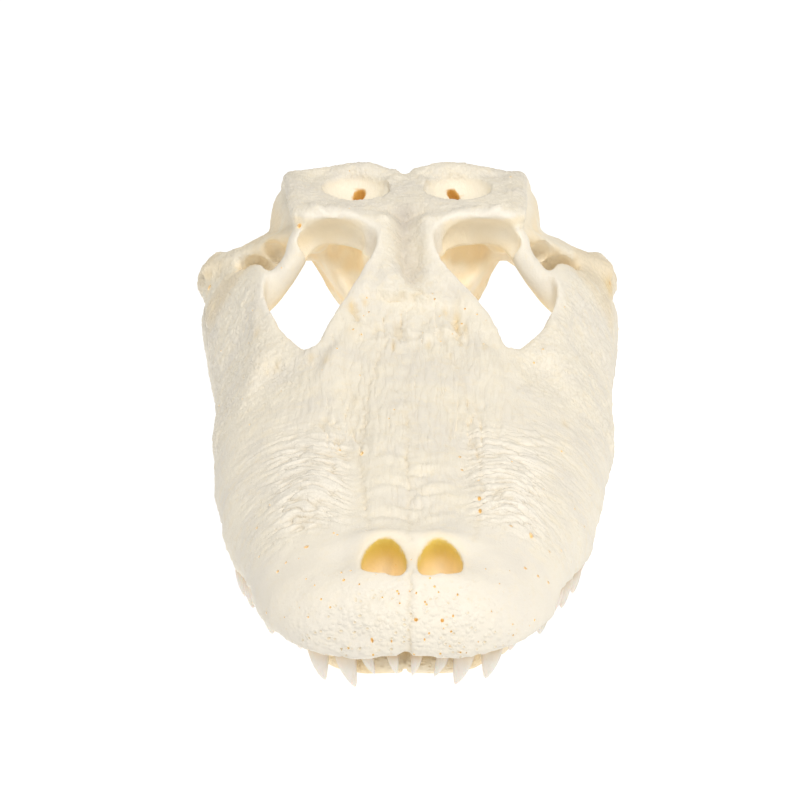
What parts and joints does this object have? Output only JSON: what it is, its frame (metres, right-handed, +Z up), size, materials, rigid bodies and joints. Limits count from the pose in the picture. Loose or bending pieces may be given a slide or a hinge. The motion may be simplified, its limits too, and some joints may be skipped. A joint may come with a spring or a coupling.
{
  "type": "alligator skull",
  "caption": "Life-size alligator skull with its jaws closed, a still display model that stands on the lower edges of its jaw.",
  "frame": {"origin": "on the floor, at the centre of the bounding box's underside", "axes": "the snout points to -Y and the back of the skull to +Y, +Z is up, +X is the viewer's right when the snout faces the viewer"},
  "size_m": [0.1306, 0.2875, 0.0836],
  "materials": {
    "snout_bone": "matte bleached bone",
    "braincase_bone": "matte bleached bone",
    "palate_bone": "matte bleached bone",
    "cheek_left_bone": "matte bleached bone",
    "cheek_right_bone": "matte bleached bone",
    "mandible_left_bone": "matte bleached bone",
    "mandible_right_bone": "matte bleached bone"
  },
  "bodies": {
    "root": {"snout": "snout_bone", "braincase": "braincase_bone", "palate": "palate_bone", "cheek_left": "cheek_left_bone", "cheek_right": "cheek_right_bone", "mandible_left": "mandible_left_bone", "mandible_right": "mandible_right_bone"}
  },
  "joints": []
}
